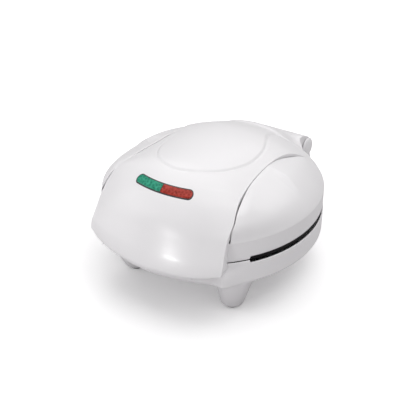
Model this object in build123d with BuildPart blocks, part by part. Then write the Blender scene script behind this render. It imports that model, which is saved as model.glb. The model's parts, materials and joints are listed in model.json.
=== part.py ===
"""Countertop quesadilla maker: oval body on four feet, hinged lid with a hooded front and two lamps.

Millimetres, +Z up, front towards -Y, hinge at +Y. Heights in the named values are measured from the rim
of the base, and plan positions from the upright axis through the middle of the oval body.
"""
from build123d import *
import math
import os

os.makedirs("parts", exist_ok=True)

# Body
body_half_width = 115.0
body_half_length = 125.3
rim_height = 71.3
band_drop = 20.5
underside_drop = 27.0
underside_inset = 14.0
wall = 2.6
seam = 0.6
front_rim_half_width = 92.0
front_rim_ramp = 8.0

# Lid crown
skirt_bottom = 6.5
crease_height = 24.5
crease_inset = 0.6
crown_rise = 51.4
crown_lean = 16.0
crown_power = 1.2
crown_fullness_across = 0.38
crown_fullness_along = 0.30
arch_radius = 143.0
deck_thickness = 2.4

# Hood
hood_wall = 2.4
hood_gap = 0.35
waist_half_width = 64.0
waist_radius = 318.0
plateau_rise = 0.8
plateau_half_width = 50.4
plateau_half_length = 68.0
plateau_back = -2.0
neck_half_width = 30.0
neck_back = 86.0

# Visor and the sloping front of the hood, as seen from the side
visor_half_width = 77.0
visor_front = 131.5
visor_drop = 11.0
visor_sweep_radius = 142.5
visor_wall = 3.0
visor_lap = 1.5
visor_clearance = 1.0
brow_front, brow_height = 111.0, 40.0
lamp_front, lamp_height = 90.5, 60.0
slope_front, slope_height = 72.0, 73.0
slope_shift_back, slope_shift_down = 0.835, 0.604

# Hinge
hinge_back = 141.0
hinge_height = 20.0
knuckle_radius = 9.5
knuckle_half_length = 30.0
ear_thickness = 8.5
ear_foot_drop = 16.0
ear_root = 112.0
hinge_gap = 0.4
pin_radius = 3.0
pin_clearance = 0.05
cap_thickness = 3.2
cap_rounding = 2.6
tail_start = 80.0
tail_slope = 26.4
tail_split = 128.0
tail_bottom = 9.0

# Feet
foot_top_x, foot_top_front, foot_top_back = 73.0, 71.0, 80.0
foot_bottom_x, foot_bottom_front, foot_bottom_back = 62.0, 58.5, 78.0
foot_top_radius = 21.0
foot_bottom_radius = 10.5
foot_rounding = 2.5
foot_top_drop = 12.0
foot_pad_radius = 7.5
foot_pad_thickness = 1.6
foot_floor = 8.0
foot_wall = 3.0

# Cooking plates
part_gap = 0.3
flange_inset_across, flange_inset_along = 3.0, 7.5
flange_thickness = 3.2
pan_radius = 100.0
pan_depth = 7.5
pan_wall = 2.2
rib_height = 3.0
rib_width = 5.0
rib_count = 3
hub_radius = 9.0
plate_screw_x, plate_screw_y = 28.0, 104.0
boss_radius = 4.5

# Heating elements, clamps and shields
heater_radius = 3.25
heater_ring = 68.0
heater_gap_angle = 20.0
heater_tail = 17.0
clamp_width = 10.0
clamp_thickness = 1.2
clamp_foot = 4.0
clamp_fit = 0.3
clamp_count = 3
shield_radius = 78.0
shield_thickness = 0.8
shield_notch = 44.0
shield_clearance = 0.2
stud_radius = 5.0

# Screws
screw_radius = 1.6
screw_clearance = 0.05
screw_head_radius = 3.1
screw_head_height = 2.0
screw_length = 12.0
head_clearance = 0.1

# Lamp window
lamp_half_angle = 16.3
lamp_reach = 7.8
lamp_border = 1.0
lamp_gap = 0.15
lamp_proud = 0.3
lamp_depth = 3.4
lamp_lens_drop = 0.2
lamp_holder_width, lamp_holder_depth, lamp_holder_height = 44.0, 12.0, 8.0
lamp_spacing = 26.0
lamp_radius = 3.0
lamp_length = 20.0
lamp_row = 80.0

# Small electrical pieces
thermostat_radius, thermostat_height = 8.0, 6.0
thermostat_front = 36.0
fuse_radius, fuse_length = 2.2, 16.0
fuse_back = 34.0
terminal_width, terminal_depth, terminal_height = 36.0, 14.0, 11.0
terminal_back = 97.0
terminal_bore = 2.2
bushing_drop = 11.0
bushing_neck, bushing_flange, bushing_bore = 6.0, 8.0, 3.6
bushing_flange_thickness = 2.0
bushing_clearance = 0.1
hood_screw_x, hood_screw_y = 52.0, 66.0

body_y = (visor_front - hinge_back - knuckle_radius) / 2
sweep_back = visor_sweep_radius - visor_front
top_height = crease_height + crown_rise
ear_inner = knuckle_half_length + hinge_gap
ear_outer = ear_inner + ear_thickness
bore_radius = pin_radius + pin_clearance
lower_face = (skirt_bottom - part_gap) / 2
upper_face = lower_face + part_gap
hood_floor = crease_height + deck_thickness + hood_gap
band_low = crease_height - 1.0
lamp_ring = lamp_front + sweep_back
shell_back = pan_depth + pan_wall
shield_depth = shell_back + 2 * heater_radius + clamp_fit + clamp_thickness + shield_clearance
hole_radius = screw_radius + screw_clearance
floor_height = wall - underside_drop
floor_corners = [(x, y) for x in (-1, 1) for y in (-1, 1)]


def level(height, back=0.0, side=0.0):
    """Horizontal plane at a height above the rim, moved back and sideways from the body's axis."""
    return Plane((side, body_y + back, rim_height + height))


def profile_plane(side=0.0):
    """Upright plane seen from the side: its x runs back from the body's axis and its y up from the rim."""
    return Plane(origin=(side, body_y, rim_height), x_dir=(0, 1, 0), z_dir=(1, 0, 0))


def oval_block(low, high, inset=0.0):
    """Upright block with the body's oval plan between two heights."""
    with BuildPart() as block:
        with BuildSketch(level(low)):
            Ellipse(body_half_width - inset, body_half_length - inset)
        extrude(amount=high - low)
    return block.part


def box_block(half_width, front, back, low, high):
    """Upright box centred across the width, between two plan positions and two heights."""
    with BuildPart() as block:
        with BuildSketch(level(low, (front + back) / 2)):
            Rectangle(2 * half_width, back - front)
        extrude(amount=high - low)
    return block.part


def crown(inset):
    """The domed top of the lid, pulled in by an inset: ovals that shrink and lean forward as they rise."""
    with BuildPart() as dome:
        for t in (0.0, 0.12, 0.26, 0.4, 0.54, 0.68, 0.8, 0.89, 0.95, 0.985):
            left = 1 - t ** crown_power
            half_width = (body_half_width - crease_inset) * left ** crown_fullness_across
            half_length = (body_half_length - crease_inset) * left ** crown_fullness_along
            with BuildSketch(level(crease_height + (crown_rise - inset) * t, -crown_lean * t ** 1.5)):
                Ellipse(half_width - inset, half_length - inset)
        loft()
    return dome.part


def arch(inset):
    """Long round-topped block that rounds the hood off from side to side."""
    with BuildPart() as block:
        with BuildSketch(Plane(origin=(0, body_y, rim_height + top_height - arch_radius), z_dir=(0, -1, 0))):
            Circle(arch_radius - inset)
        extrude(amount=2 * body_half_length, both=True)
    return block.part


def slope_block(inset):
    """Block turned from the sloping front of the hood, with its skin moved in by an inset."""
    back = slope_shift_back * inset
    down = slope_shift_down * inset
    with BuildPart() as block:
        with BuildSketch(profile_plane()):
            with BuildLine():
                low = (back - visor_front, -visor_drop - down)
                brow = (back - brow_front, brow_height - down)
                lamp = (back - lamp_front, lamp_height - down)
                top = (back - slope_front, slope_height - down)
                rise = top_height + 10
                run = (rise - slope_height) * (lamp_front - slope_front) / (slope_height - lamp_height)
                Line((sweep_back, low[1] - 10), (low[0] - 3, low[1] - 10))
                Line((low[0] - 3, low[1] - 10), low)
                Spline(low, brow, lamp, top)
                Line(top, (top[0] + run, rise))
                Line((top[0] + run, rise), (sweep_back, rise))
                Line((sweep_back, rise), (sweep_back, low[1] - 10))
            make_face()
        revolve(axis=Axis((0, body_y + sweep_back, 0), (0, 0, 1)))
    return block.part


def band_block(inset, low, high):
    """Upright block between the two hood grooves, narrowest at the body's axis."""
    reach = body_half_length + 30
    waist = waist_half_width - inset
    end = waist + waist_radius - math.sqrt(waist_radius ** 2 - reach ** 2)
    with BuildPart() as band:
        with BuildSketch(level(low)):
            with BuildLine():
                ThreePointArc((end, -reach), (waist, 0), (end, reach))
                Line((end, reach), (-end, reach))
                ThreePointArc((-end, reach), (-waist, 0), (-end, -reach))
                Line((-end, -reach), (end, -reach))
            make_face()
        extrude(amount=high - low)
    return band.part


def tail_block(half_width, inset):
    """Wedge that carries the slope of the lid back to the barrel of the hinge."""
    fall = math.radians(tail_slope)
    tangent = (hinge_back + knuckle_radius * math.sin(fall), hinge_height + knuckle_radius * math.cos(fall))
    start_height = tangent[1] + (tangent[0] - tail_start) * math.tan(fall)
    lift = inset / math.cos(fall)
    with BuildPart() as block:
        with BuildSketch(profile_plane()):
            with BuildLine():
                Polyline((tail_start, tail_bottom), (tail_start, start_height - lift),
                         (tangent[0], tangent[1] - lift), (tangent[0], hinge_height),
                         (hinge_back, hinge_height - knuckle_radius), (tail_split, tail_bottom), close=True)
            make_face()
        extrude(amount=half_width, both=True)
        sunk = arch_radius - knuckle_radius
        with BuildSketch(Plane(origin=(0, body_y + hinge_back - sunk * math.sin(fall),
                                       rim_height + hinge_height - sunk * math.cos(fall)),
                               z_dir=(0, -math.cos(fall), math.sin(fall)))):
            Circle(arch_radius - inset)
        extrude(amount=2 * body_half_length, both=True, mode=Mode.INTERSECT)
    return block.part


def rod(side_from, side_to, radius):
    """Cylinder on the hinge axis between two distances to the side."""
    with BuildPart() as cylinder:
        with BuildSketch(Plane(origin=(side_from, body_y + hinge_back, rim_height + hinge_height),
                               x_dir=(0, 1, 0), z_dir=(1, 0, 0))):
            Circle(radius)
        extrude(amount=side_to - side_from)
    return cylinder.part


def face(way):
    """Height of a plate's cooking face: the lower plate's for -1 and the upper plate's for +1."""
    return upper_face if way > 0 else lower_face


def post(height, amount, side, back, radius):
    """Upright cylinder that starts at a height, at a distance to the side and back."""
    with BuildPart() as cylinder:
        with BuildSketch(level(height, back, side)):
            Circle(radius)
        extrude(amount=amount)
    return cylinder.part


def foot_block(side, front, top_back, bottom_back, shrink, low, inset):
    """Leaning leg, wide where it leaves the body and flush with the body's wall."""
    with BuildPart() as leg:
        with BuildSketch(level(low - rim_height, bottom_back, side * foot_bottom_x)):
            Circle(foot_bottom_radius - shrink)
        with BuildSketch(level(-foot_top_drop, top_back, side * foot_top_x)):
            Circle(foot_top_radius - shrink)
        loft()
        if front:
            fillet(leg.edges().group_by(Axis.Z)[0], radius=foot_rounding)
        add(oval_block(low - rim_height - 1, -foot_top_drop + 1, inset), mode=Mode.INTERSECT)
    return leg.part


def feet(rounded, shrink, low, inset):
    """The four legs, the rear pair set further back to hold the open lid."""
    legs = []
    for side in (-1, 1):
        legs.append(foot_block(side, rounded, -foot_top_front, -foot_bottom_front, shrink, low, inset))
        legs.append(foot_block(side, rounded, foot_top_back, foot_bottom_back, shrink, low, inset))
    return legs


def front_lip(wide, narrow, inset):
    """Oval block across the front, its two ends ramping in from one height to another."""
    with BuildPart() as lip:
        add(oval_block(min(wide, narrow), max(wide, narrow), inset))
        with BuildSketch(Plane(origin=(0, body_y, rim_height), x_dir=(1, 0, 0), z_dir=(0, -1, 0))):
            with BuildLine():
                Polyline((-front_rim_half_width, wide), (front_rim_half_width, wide),
                         (front_rim_half_width - front_rim_ramp, narrow),
                         (front_rim_ramp - front_rim_half_width, narrow), close=True)
            make_face()
        extrude(amount=body_half_length, mode=Mode.INTERSECT)
    return lip.part


def tray(low, inset):
    """The oval well of the base, rounded in under its band, with its skin moved in by an inset."""
    with BuildPart() as well:
        with BuildSketch(level(low)):
            Ellipse(body_half_width - underside_inset - inset, body_half_length - underside_inset - inset)
        turn = underside_inset / 3 + inset
        with BuildSketch(level((low - band_drop) / 2 - 1.0)):
            Ellipse(body_half_width - turn, body_half_length - turn)
        with BuildSketch(level(-band_drop)):
            Ellipse(body_half_width - inset, body_half_length - inset)
        loft()
        add(oval_block(-band_drop, 0, inset))
    return well.part


def ear(side_from, side_to):
    """Arm on the back of the base that holds one end of the hinge pin."""
    with BuildPart() as arm:
        with BuildSketch(profile_plane(side_from)):
            with BuildLine():
                Polyline((ear_root, -ear_foot_drop), (hinge_back, -ear_foot_drop),
                         (hinge_back + knuckle_radius, -4), (hinge_back + knuckle_radius, hinge_height),
                         (hinge_back - knuckle_radius, hinge_height), (hinge_back - knuckle_radius, 3),
                         (hinge_back - knuckle_radius - 5, -2), (ear_root, -2), close=True)
            make_face()
            with Locations((hinge_back, hinge_height)):
                Circle(knuckle_radius)
        extrude(amount=side_to - side_from)
    return arm.part


def plate(way):
    """Cooking plate: a flat flange round a round pan, with bars that press the wedges."""
    with BuildPart() as piece:
        with BuildSketch(level(face(way))):
            Ellipse(body_half_width - flange_inset_across, body_half_length - flange_inset_along)
        extrude(amount=way * flange_thickness)
        with BuildSketch(level(face(way))):
            Circle(pan_radius + pan_wall)
        extrude(amount=way * shell_back)
        with BuildSketch(level(face(way))):
            Circle(pan_radius)
        extrude(amount=way * pan_depth, mode=Mode.SUBTRACT)
        with BuildSketch(level(face(way) + way * pan_depth)):
            for turn in range(rib_count):
                Rectangle(2 * pan_radius + 4, rib_width, rotation=turn * 180 / rib_count)
            Circle(hub_radius)
            Circle(pan_radius + pan_wall / 2, mode=Mode.INTERSECT)
        extrude(amount=-way * rib_height)
        with BuildSketch(level(face(way) + way * shell_back)):
            Circle(stud_radius)
        extrude(amount=way * (shield_depth - shell_back))
        with BuildSketch(level(face(way) + way * shield_depth)):
            Circle(hole_radius)
        extrude(amount=way * (shell_back - shield_depth), mode=Mode.SUBTRACT)
        with BuildSketch(level(face(way))):
            with GridLocations(2 * plate_screw_x, 2 * plate_screw_y, 2, 2):
                Circle(screw_head_radius + head_clearance)
        extrude(amount=way * screw_head_height, mode=Mode.SUBTRACT)
        with BuildSketch(level(face(way))):
            with GridLocations(2 * plate_screw_x, 2 * plate_screw_y, 2, 2):
                Circle(hole_radius)
        extrude(amount=way * flange_thickness, mode=Mode.SUBTRACT)
    return piece.part


def heater(way):
    """Open ring of heating tube behind a plate, with two straight tails to the rear."""
    depth = face(way) + way * (shell_back + heater_radius)
    gap = math.radians(heater_gap_angle / 2)
    end_side, end_back = heater_ring * math.sin(gap), heater_ring * math.cos(gap)
    with BuildPart() as tube:
        out = (math.sin(gap), math.cos(gap), 0)
        round_ring = (-math.cos(gap), math.sin(gap), 0)
        end = (end_side, body_y + end_back, rim_height + depth)
        with BuildSketch(Plane(origin=end, x_dir=out, z_dir=round_ring)):
            Circle(heater_radius)
        revolve(axis=Axis((0, body_y, 0), (0, 0, -1)), revolution_arc=360 - heater_gap_angle)
        for side in (-1, 1):
            with BuildSketch(Plane(origin=(side * end_side, body_y + end_back, rim_height + depth),
                                   x_dir=(1, 0, 0), z_dir=(0, 1, 0))):
                Circle(heater_radius)
            extrude(amount=heater_tail)
            with Locations((side * end_side, body_y + end_back, rim_height + depth)):
                Sphere(heater_radius)
    return tube.part


def clamps(way):
    """Straps that hold the heating tube on the back of a plate."""
    half = heater_radius + clamp_fit
    tall = 2 * heater_radius + clamp_fit
    with BuildPart() as straps:
        for turn in range(clamp_count):
            angle = math.radians(turn * 360 / clamp_count - 90)
            out = (math.cos(angle), math.sin(angle), 0)
            along = (math.sin(angle), -math.cos(angle), 0)
            middle = (heater_ring * out[0] - along[0] * clamp_width / 2,
                      body_y + heater_ring * out[1] - along[1] * clamp_width / 2,
                      rim_height + face(way) + way * shell_back)
            with BuildSketch(Plane(origin=middle, x_dir=out, z_dir=along)):
                with Locations((0, way * (tall + clamp_thickness) / 2)):
                    Rectangle(2 * (half + clamp_thickness), tall + clamp_thickness)
                with Locations((0, way * clamp_thickness / 2)):
                    Rectangle(2 * (half + clamp_thickness + clamp_foot), clamp_thickness)
                with Locations((0, way * tall / 2)):
                    Rectangle(2 * half, tall, mode=Mode.SUBTRACT)
            extrude(amount=clamp_width)
    return straps.part


def shield(way):
    """Thin dish that covers the heating tube and keeps its heat off the housing."""
    with BuildPart() as dish:
        with BuildSketch(level(face(way) + way * shell_back)):
            Circle(shield_radius)
        extrude(amount=way * (shield_depth - shell_back + shield_thickness))
        with BuildSketch(level(face(way) + way * shell_back)):
            Circle(shield_radius - shield_thickness)
        extrude(amount=way * (shield_depth - shell_back), mode=Mode.SUBTRACT)
        with BuildSketch(level(face(way) + way * shell_back)):
            Circle(hole_radius)
            with Locations((0, shield_radius)):
                Rectangle(shield_notch, 2 * (shield_radius - thermostat_front))
        extrude(amount=way * (shield_depth + shield_thickness), mode=Mode.SUBTRACT)
    return dish.part


def screws(height, way, places, length):
    """Pan-head screws whose heads sit at a height and whose shanks point up for +1 or down for -1."""
    with BuildPart() as set_of_screws:
        for side, back in places:
            with BuildSketch(level(height, back, side)):
                Circle(screw_head_radius)
            extrude(amount=way * screw_head_height)
            with BuildSketch(level(height, back, side)):
                Circle(screw_radius)
            extrude(amount=way * (screw_head_height + length))
    return set_of_screws.part


def thermostat(way):
    """Round snap thermostat on the back of a plate."""
    start = face(way) + way * shell_back
    return post(start, way * thermostat_height, 0, -thermostat_front, thermostat_radius)


def lamp_slot(shrink, side=0, middle=0.0):
    """Upright block with the round-ended, curved plan of the lamp window, or its half on one side."""
    with BuildPart() as block:
        with BuildSketch(level(0, sweep_back)):
            SlotArc(CenterArc((0, 0), lamp_ring, -90 - lamp_half_angle, 2 * lamp_half_angle),
                    height=lamp_reach - 2 * shrink)
            if side:
                with Locations((side * (lamp_ring + middle), -lamp_ring)):
                    Rectangle(2 * lamp_ring, 2 * lamp_ring, mode=Mode.INTERSECT)
        extrude(amount=top_height)
    return block.part


plate_places = [(x * plate_screw_x, y * plate_screw_y) for x, y in floor_corners]
hood_places = [(x * hood_screw_x, y * hood_screw_y) for x, y in floor_corners]

# Lid housing: skirt, cheeks and the deck that carries the hood
visor_room = visor_half_width + hood_gap
inner_slope = visor_wall + hood_gap
deck_top = crease_height + deck_thickness
recess = box_block(visor_room, -body_half_length - 30, -50, skirt_bottom - 5, top_height + 10)
recess -= slope_block(inner_slope)
inner_recess = box_block(visor_room + wall, -body_half_length - 30, -50, skirt_bottom - 5, top_height + 10)
inner_recess -= slope_block(inner_slope + wall)
hood_tail_room = box_block(knuckle_half_length + 1, 0, tail_split + hood_gap, deck_top, top_height)
with BuildPart() as lid_housing:
    add(oval_block(skirt_bottom, crease_height, crease_inset))
    add(front_lip(skirt_bottom, (skirt_bottom + seam) / 2, crease_inset))
    add(crown(0.0))
    add(band_block(0.0, deck_top, top_height + 20), mode=Mode.SUBTRACT)
    add(recess, mode=Mode.SUBTRACT)
    add(oval_block(0, crease_height, wall) - inner_recess, mode=Mode.SUBTRACT)
    add(crown(wall) - band_block(-wall, band_low, top_height + 20) - inner_recess, mode=Mode.SUBTRACT)
    flange_back = upper_face + flange_thickness
    for place in plate_places:
        add(post(flange_back, deck_top - flange_back, *place, boss_radius))
        add(post(skirt_bottom - 1, screw_length + 4, *place, hole_radius), mode=Mode.SUBTRACT)
    for place in hood_places:
        add(post(crease_height - 1, deck_thickness + 2, *place, hole_radius), mode=Mode.SUBTRACT)
lid_housing.part.label = "lid_housing"

# Lid knuckle: the wedge behind the lid and the barrel that turns on the hinge pin
with BuildPart() as lid_knuckle:
    add(tail_block(knuckle_half_length, 0.0) - hood_tail_room)
    add(rod(-knuckle_half_length, knuckle_half_length, knuckle_radius))
    add(oval_block(skirt_bottom, crease_height, crease_inset), mode=Mode.SUBTRACT)
    add(crown(0.0), mode=Mode.SUBTRACT)
    add(rod(-ear_outer, ear_outer, bore_radius), mode=Mode.SUBTRACT)
lid_knuckle.part.label = "lid_knuckle"

# Hood: crown between the grooves, sloping front, visor and tail
hood_core = crown(1.0) & arch(1.0) & slope_block(1.0)
hood_top = top_height + 20
visor_low = box_block(visor_half_width, -body_half_length - 30, -50, -visor_drop, hood_floor + visor_lap)
visor_low &= slope_block(0.0)
visor_inside = visor_half_width - visor_wall
visor_sides = visor_low - box_block(visor_inside, -body_half_length - 30, 0, -visor_drop, hood_top)
visor_sides -= box_block(visor_half_width + 1, -60, 0, -visor_drop - 1, hood_top)
with BuildPart() as keyhole:
    with BuildSketch(level(crease_height)):
        with Locations((0, plateau_back)):
            Ellipse(plateau_half_width, plateau_half_length)
        with Locations((0, (plateau_back + neck_back) / 2)):
            Rectangle(2 * neck_half_width, neck_back - plateau_back)
    extrude(amount=top_height)
    add(crown(-plateau_rise) & arch(-plateau_rise) & slope_block(-plateau_rise), mode=Mode.INTERSECT)
with BuildPart() as lid_hood:
    add(crown(0.0) & arch(0.0) & slope_block(0.0))
    add(keyhole.part)
    add(band_block(hood_gap, hood_floor, hood_top), mode=Mode.INTERSECT)
    add(tail_block(knuckle_half_length, 0.0)
        & box_block(knuckle_half_length + 1, 0, tail_split, hood_floor, hood_top))
    add(crown(hood_wall) & arch(hood_wall) & slope_block(hood_wall)
        & band_block(hood_gap + hood_wall, hood_floor - 1, hood_top), mode=Mode.SUBTRACT)
    add(tail_block(knuckle_half_length - hood_wall, hood_wall)
        & box_block(knuckle_half_length, 0, tail_split + 1, hood_floor - 1, hood_top), mode=Mode.SUBTRACT)
    add(visor_low - slope_block(visor_wall))
    add(visor_sides - oval_block(-visor_drop - 1, hood_floor + visor_lap, -visor_clearance))
    for place in hood_places:
        add(post(hood_floor - hood_gap, top_height, *place, boss_radius) & hood_core)
        add(post(hood_floor - 1, screw_length + 2, *place, hole_radius), mode=Mode.SUBTRACT)
    add(lamp_slot(0.0), mode=Mode.SUBTRACT)
lid_hood.part.label = "lid_hood"

# Base housing: band, front rim raised to half of the slot, and well
finger_front = box_block(visor_room, -body_half_length - 30, -50, -visor_drop - 4, skirt_bottom)
finger_recess = finger_front - slope_block(visor_wall + visor_clearance)
finger_inner = finger_front - slope_block(visor_wall + visor_clearance + wall)
with BuildPart() as base_housing:
    add(tray(-underside_drop, 0.0))
    add(front_lip(0, (skirt_bottom - seam) / 2, 0.0))
    add(finger_recess, mode=Mode.SUBTRACT)
    add(tray(floor_height, wall) - finger_inner, mode=Mode.SUBTRACT)
    add(oval_block(-1, skirt_bottom, wall) - finger_inner, mode=Mode.SUBTRACT)
    for place in plate_places:
        add(post(floor_height - 1, lower_face - flange_thickness - floor_height + 1, *place, boss_radius))
        add(post(lower_face, -screw_length - 4, *place, hole_radius), mode=Mode.SUBTRACT)
    behind = (0, body_y + body_half_length + 5, rim_height - bushing_drop)
    with BuildSketch(Plane(origin=behind, z_dir=(0, -1, 0))):
        Circle(bushing_neck + bushing_clearance)
    extrude(amount=20, mode=Mode.SUBTRACT)
base_housing.part.label = "base_housing"

# Legs: four hollow legs that run up into the underside of the base
with BuildPart() as legs:
    for leg in feet(True, 0.0, foot_pad_thickness, 0.0):
        add(leg)
    for leg in feet(False, foot_wall, foot_floor, foot_wall):
        add(leg, mode=Mode.SUBTRACT)
    add(tray(-underside_drop, 0.0), mode=Mode.SUBTRACT)
legs.part.label = "legs"

# Hinge ears: the two arms on the back of the base
with BuildPart() as hinge_ears:
    for side in (-1, 1):
        add(ear(side * ear_inner, side * ear_outer))
    add(tray(-underside_drop, 0.0), mode=Mode.SUBTRACT)
    add(rod(-ear_outer - 1, ear_outer + 1, bore_radius), mode=Mode.SUBTRACT)
hinge_ears.part.label = "hinge_ears"

# Foot pads
with BuildPart() as foot_pads:
    for side in (-1, 1):
        for back in (-foot_bottom_front, foot_bottom_back):
            with BuildSketch(level(-rim_height, back, side * foot_bottom_x)):
                Circle(foot_pad_radius)
            extrude(amount=foot_pad_thickness)
foot_pads.part.label = "foot_pads"

# Hinge pin and the two domed caps over its ends
with BuildPart() as hinge_pin:
    add(rod(-ear_outer, ear_outer, pin_radius))
hinge_pin.part.label = "hinge_pin"

with BuildPart() as hinge_caps:
    for side in (-1, 1):
        with BuildPart(mode=Mode.PRIVATE) as cap:
            add(rod(side * ear_outer, side * (ear_outer + cap_thickness), knuckle_radius))
            fillet(cap.edges().sort_by(Axis.X)[-1 if side > 0 else 0], radius=cap_rounding)
        add(cap.part)
hinge_caps.part.label = "hinge_caps"

# Cord bushing, empty, in the rear wall between the ears
with BuildPart() as cord_bushing:
    with BuildSketch(profile_plane()):
        with BuildLine():
            outer_seat = body_half_length + 0.1
            inner_seat = body_half_length - wall - 0.5
            Polyline((inner_seat - bushing_flange_thickness, bushing_bore - bushing_drop),
                     (inner_seat - bushing_flange_thickness, bushing_flange - bushing_drop),
                     (inner_seat, bushing_flange - bushing_drop), (inner_seat, bushing_neck - bushing_drop),
                     (outer_seat, bushing_neck - bushing_drop), (outer_seat, bushing_flange - bushing_drop),
                     (outer_seat + bushing_flange_thickness, bushing_flange - bushing_drop),
                     (outer_seat + bushing_flange_thickness, bushing_bore - bushing_drop), close=True)
        make_face()
    revolve(axis=Axis((0, 0, rim_height - bushing_drop), (0, 1, 0)))
cord_bushing.part.label = "cord_bushing"

# Terminal block on the floor of the base
with BuildPart() as terminal_block:
    with BuildSketch(level(floor_height, terminal_back)):
        Rectangle(terminal_width, terminal_depth)
    extrude(amount=terminal_height)
    with BuildSketch(level(floor_height + terminal_height, terminal_back)):
        with GridLocations(terminal_width / 3, 1, 3, 1):
            Circle(terminal_bore)
    extrude(amount=-terminal_height / 2, mode=Mode.SUBTRACT)
terminal_block.part.label = "terminal_block"

# Thermal fuse on the back of the lower plate
with BuildPart() as thermal_fuse:
    with BuildSketch(Plane(origin=(-fuse_length / 2, body_y + fuse_back,
                                   rim_height + lower_face - shell_back - fuse_radius), z_dir=(1, 0, 0))):
        Circle(fuse_radius)
    extrude(amount=fuse_length)
thermal_fuse.part.label = "thermal_fuse"

# Lamp window: black border, green and red lenses
window_skin = slope_block(-lamp_proud) - slope_block(lamp_depth)
lens_skin = slope_block(lamp_lens_drop) - slope_block(lamp_depth)
opening = lamp_gap + lamp_border
with BuildPart() as lamp_bezel:
    add(lamp_slot(lamp_gap))
    for side in (-1, 1):
        add(lamp_slot(opening, side, lamp_border / 2), mode=Mode.SUBTRACT)
    add(window_skin, mode=Mode.INTERSECT)
lamp_bezel.part.label = "lamp_bezel"

with BuildPart() as green_lens:
    add(lamp_slot(opening + lamp_gap, -1, lamp_border / 2 + lamp_gap))
    add(lens_skin, mode=Mode.INTERSECT)
green_lens.part.label = "green_lens"

with BuildPart() as red_lens:
    add(lamp_slot(opening + lamp_gap, 1, lamp_border / 2 + lamp_gap))
    add(lens_skin, mode=Mode.INTERSECT)
red_lens.part.label = "red_lens"

# Lamp holder on the deck, with the two indicator lamps
with BuildPart() as lamp_holder:
    with BuildSketch(level(deck_top, -lamp_row)):
        Rectangle(lamp_holder_width, lamp_holder_depth)
    extrude(amount=lamp_holder_height)
    with BuildSketch(level(deck_top + lamp_holder_height, -lamp_row)):
        with GridLocations(lamp_spacing, 1, 2, 1):
            Circle(lamp_radius + screw_clearance)
    extrude(amount=-lamp_holder_height / 2, mode=Mode.SUBTRACT)
lamp_holder.part.label = "lamp_holder"

with BuildPart() as indicator_lamps:
    with BuildSketch(level(deck_top + lamp_holder_height / 2, -lamp_row)):
        with GridLocations(lamp_spacing, 1, 2, 1):
            Circle(lamp_radius)
    extrude(amount=lamp_length)
    fillet(indicator_lamps.edges().group_by(Axis.Z)[-1], radius=lamp_radius * 0.8)
indicator_lamps.part.label = "indicator_lamps"

pieces = [lid_housing, lid_knuckle, lid_hood, base_housing, legs, hinge_ears, foot_pads, hinge_pin,
          hinge_caps, cord_bushing, terminal_block, thermal_fuse, lamp_bezel, green_lens, red_lens,
          lamp_holder, indicator_lamps]
shapes = {piece.part.label: piece.part for piece in pieces}
for name, way in (("lower", -1), ("upper", 1)):
    shapes[name + "_plate"] = plate(way)
    shapes[name + "_heater"] = heater(way)
    shapes[name + "_heater_clamps"] = clamps(way)
    shapes[name + "_heat_shield"] = shield(way)
    shapes[name + "_thermostat"] = thermostat(way)
    shapes[name + "_plate_screws"] = screws(face(way), way, plate_places, screw_length)
    shield_face = face(way) + way * (shield_depth + shield_thickness + screw_head_height)
    shapes[name + "_shield_screw"] = screws(shield_face, -way, [(0, 0)], shield_depth - shell_back - 2)
shapes["hood_screws"] = screws(crease_height - screw_head_height, 1, hood_places, screw_length)

for name, shape in shapes.items():
    shape.label = name
    export_step(shape, "parts/" + name + ".step")
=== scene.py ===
"""Visual model of the quesadilla maker, laid out as an add-on and run as a script."""
import json
import math

import bmesh
import bpy
import numpy as np
from bpy.props import FloatProperty, FloatVectorProperty, PointerProperty
from mathutils import Matrix


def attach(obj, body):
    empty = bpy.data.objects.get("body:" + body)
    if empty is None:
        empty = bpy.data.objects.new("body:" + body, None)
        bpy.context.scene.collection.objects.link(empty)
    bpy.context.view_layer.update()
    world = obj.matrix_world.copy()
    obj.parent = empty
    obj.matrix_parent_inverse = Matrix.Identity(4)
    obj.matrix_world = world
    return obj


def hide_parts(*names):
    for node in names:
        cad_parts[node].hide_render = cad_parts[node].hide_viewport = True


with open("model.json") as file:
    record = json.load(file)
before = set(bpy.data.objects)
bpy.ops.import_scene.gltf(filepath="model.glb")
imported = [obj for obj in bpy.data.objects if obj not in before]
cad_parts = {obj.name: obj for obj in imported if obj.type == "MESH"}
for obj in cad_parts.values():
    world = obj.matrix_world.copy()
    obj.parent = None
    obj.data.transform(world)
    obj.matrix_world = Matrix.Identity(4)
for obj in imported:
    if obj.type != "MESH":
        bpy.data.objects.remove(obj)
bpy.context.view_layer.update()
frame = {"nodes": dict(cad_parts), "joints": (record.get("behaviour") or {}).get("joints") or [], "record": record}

bl_info = {
    "name": "Quesadilla maker",
    "version": (1, 0, 0),
    "blender": (4, 5, 0),
    "location": "View3D > Sidebar > Cooker",
    "description": "Builds the housings, hood, lamps, legs and finishes of a quesadilla maker",
    "category": "Object",
}

HINGE = np.array(frame["joints"][0]["pos_m"], dtype=float) * 1000
SEGMENTS_ROUND = 240
WELD = 2e-6

# Fixed features in millimetres about the body's axis and the rim; a pair is the range over which a blend runs.
# Inset of the lid's skirt, gap of the front seam, share of the crown's rise at which the hood's rear edge runs
SKIRT_INSET, SEAM, REAR_EDGE_SHARE = 0.6, 0.8, 0.075
# Heights over which the hood's walls turn from straight back beside the visor to straight down
VISOR_TURN = (26, 44)
# What is moved back behind the visor: half width and top of its cover, lap under the grooves, rearmost place
VISOR_COVER, VISOR_COVER_TOP, GROOVE_LAP, FRONT_PLACE = 76.9, 27, 1.0, -40
# The crown's lift at the brow, and the rounding between crown, arch and slope
BROW_PLACE, BROW_LIFT, CROWN_SOFT, SLOPE_SOFT = -82, 0.13, 4.0, 5.0
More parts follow.
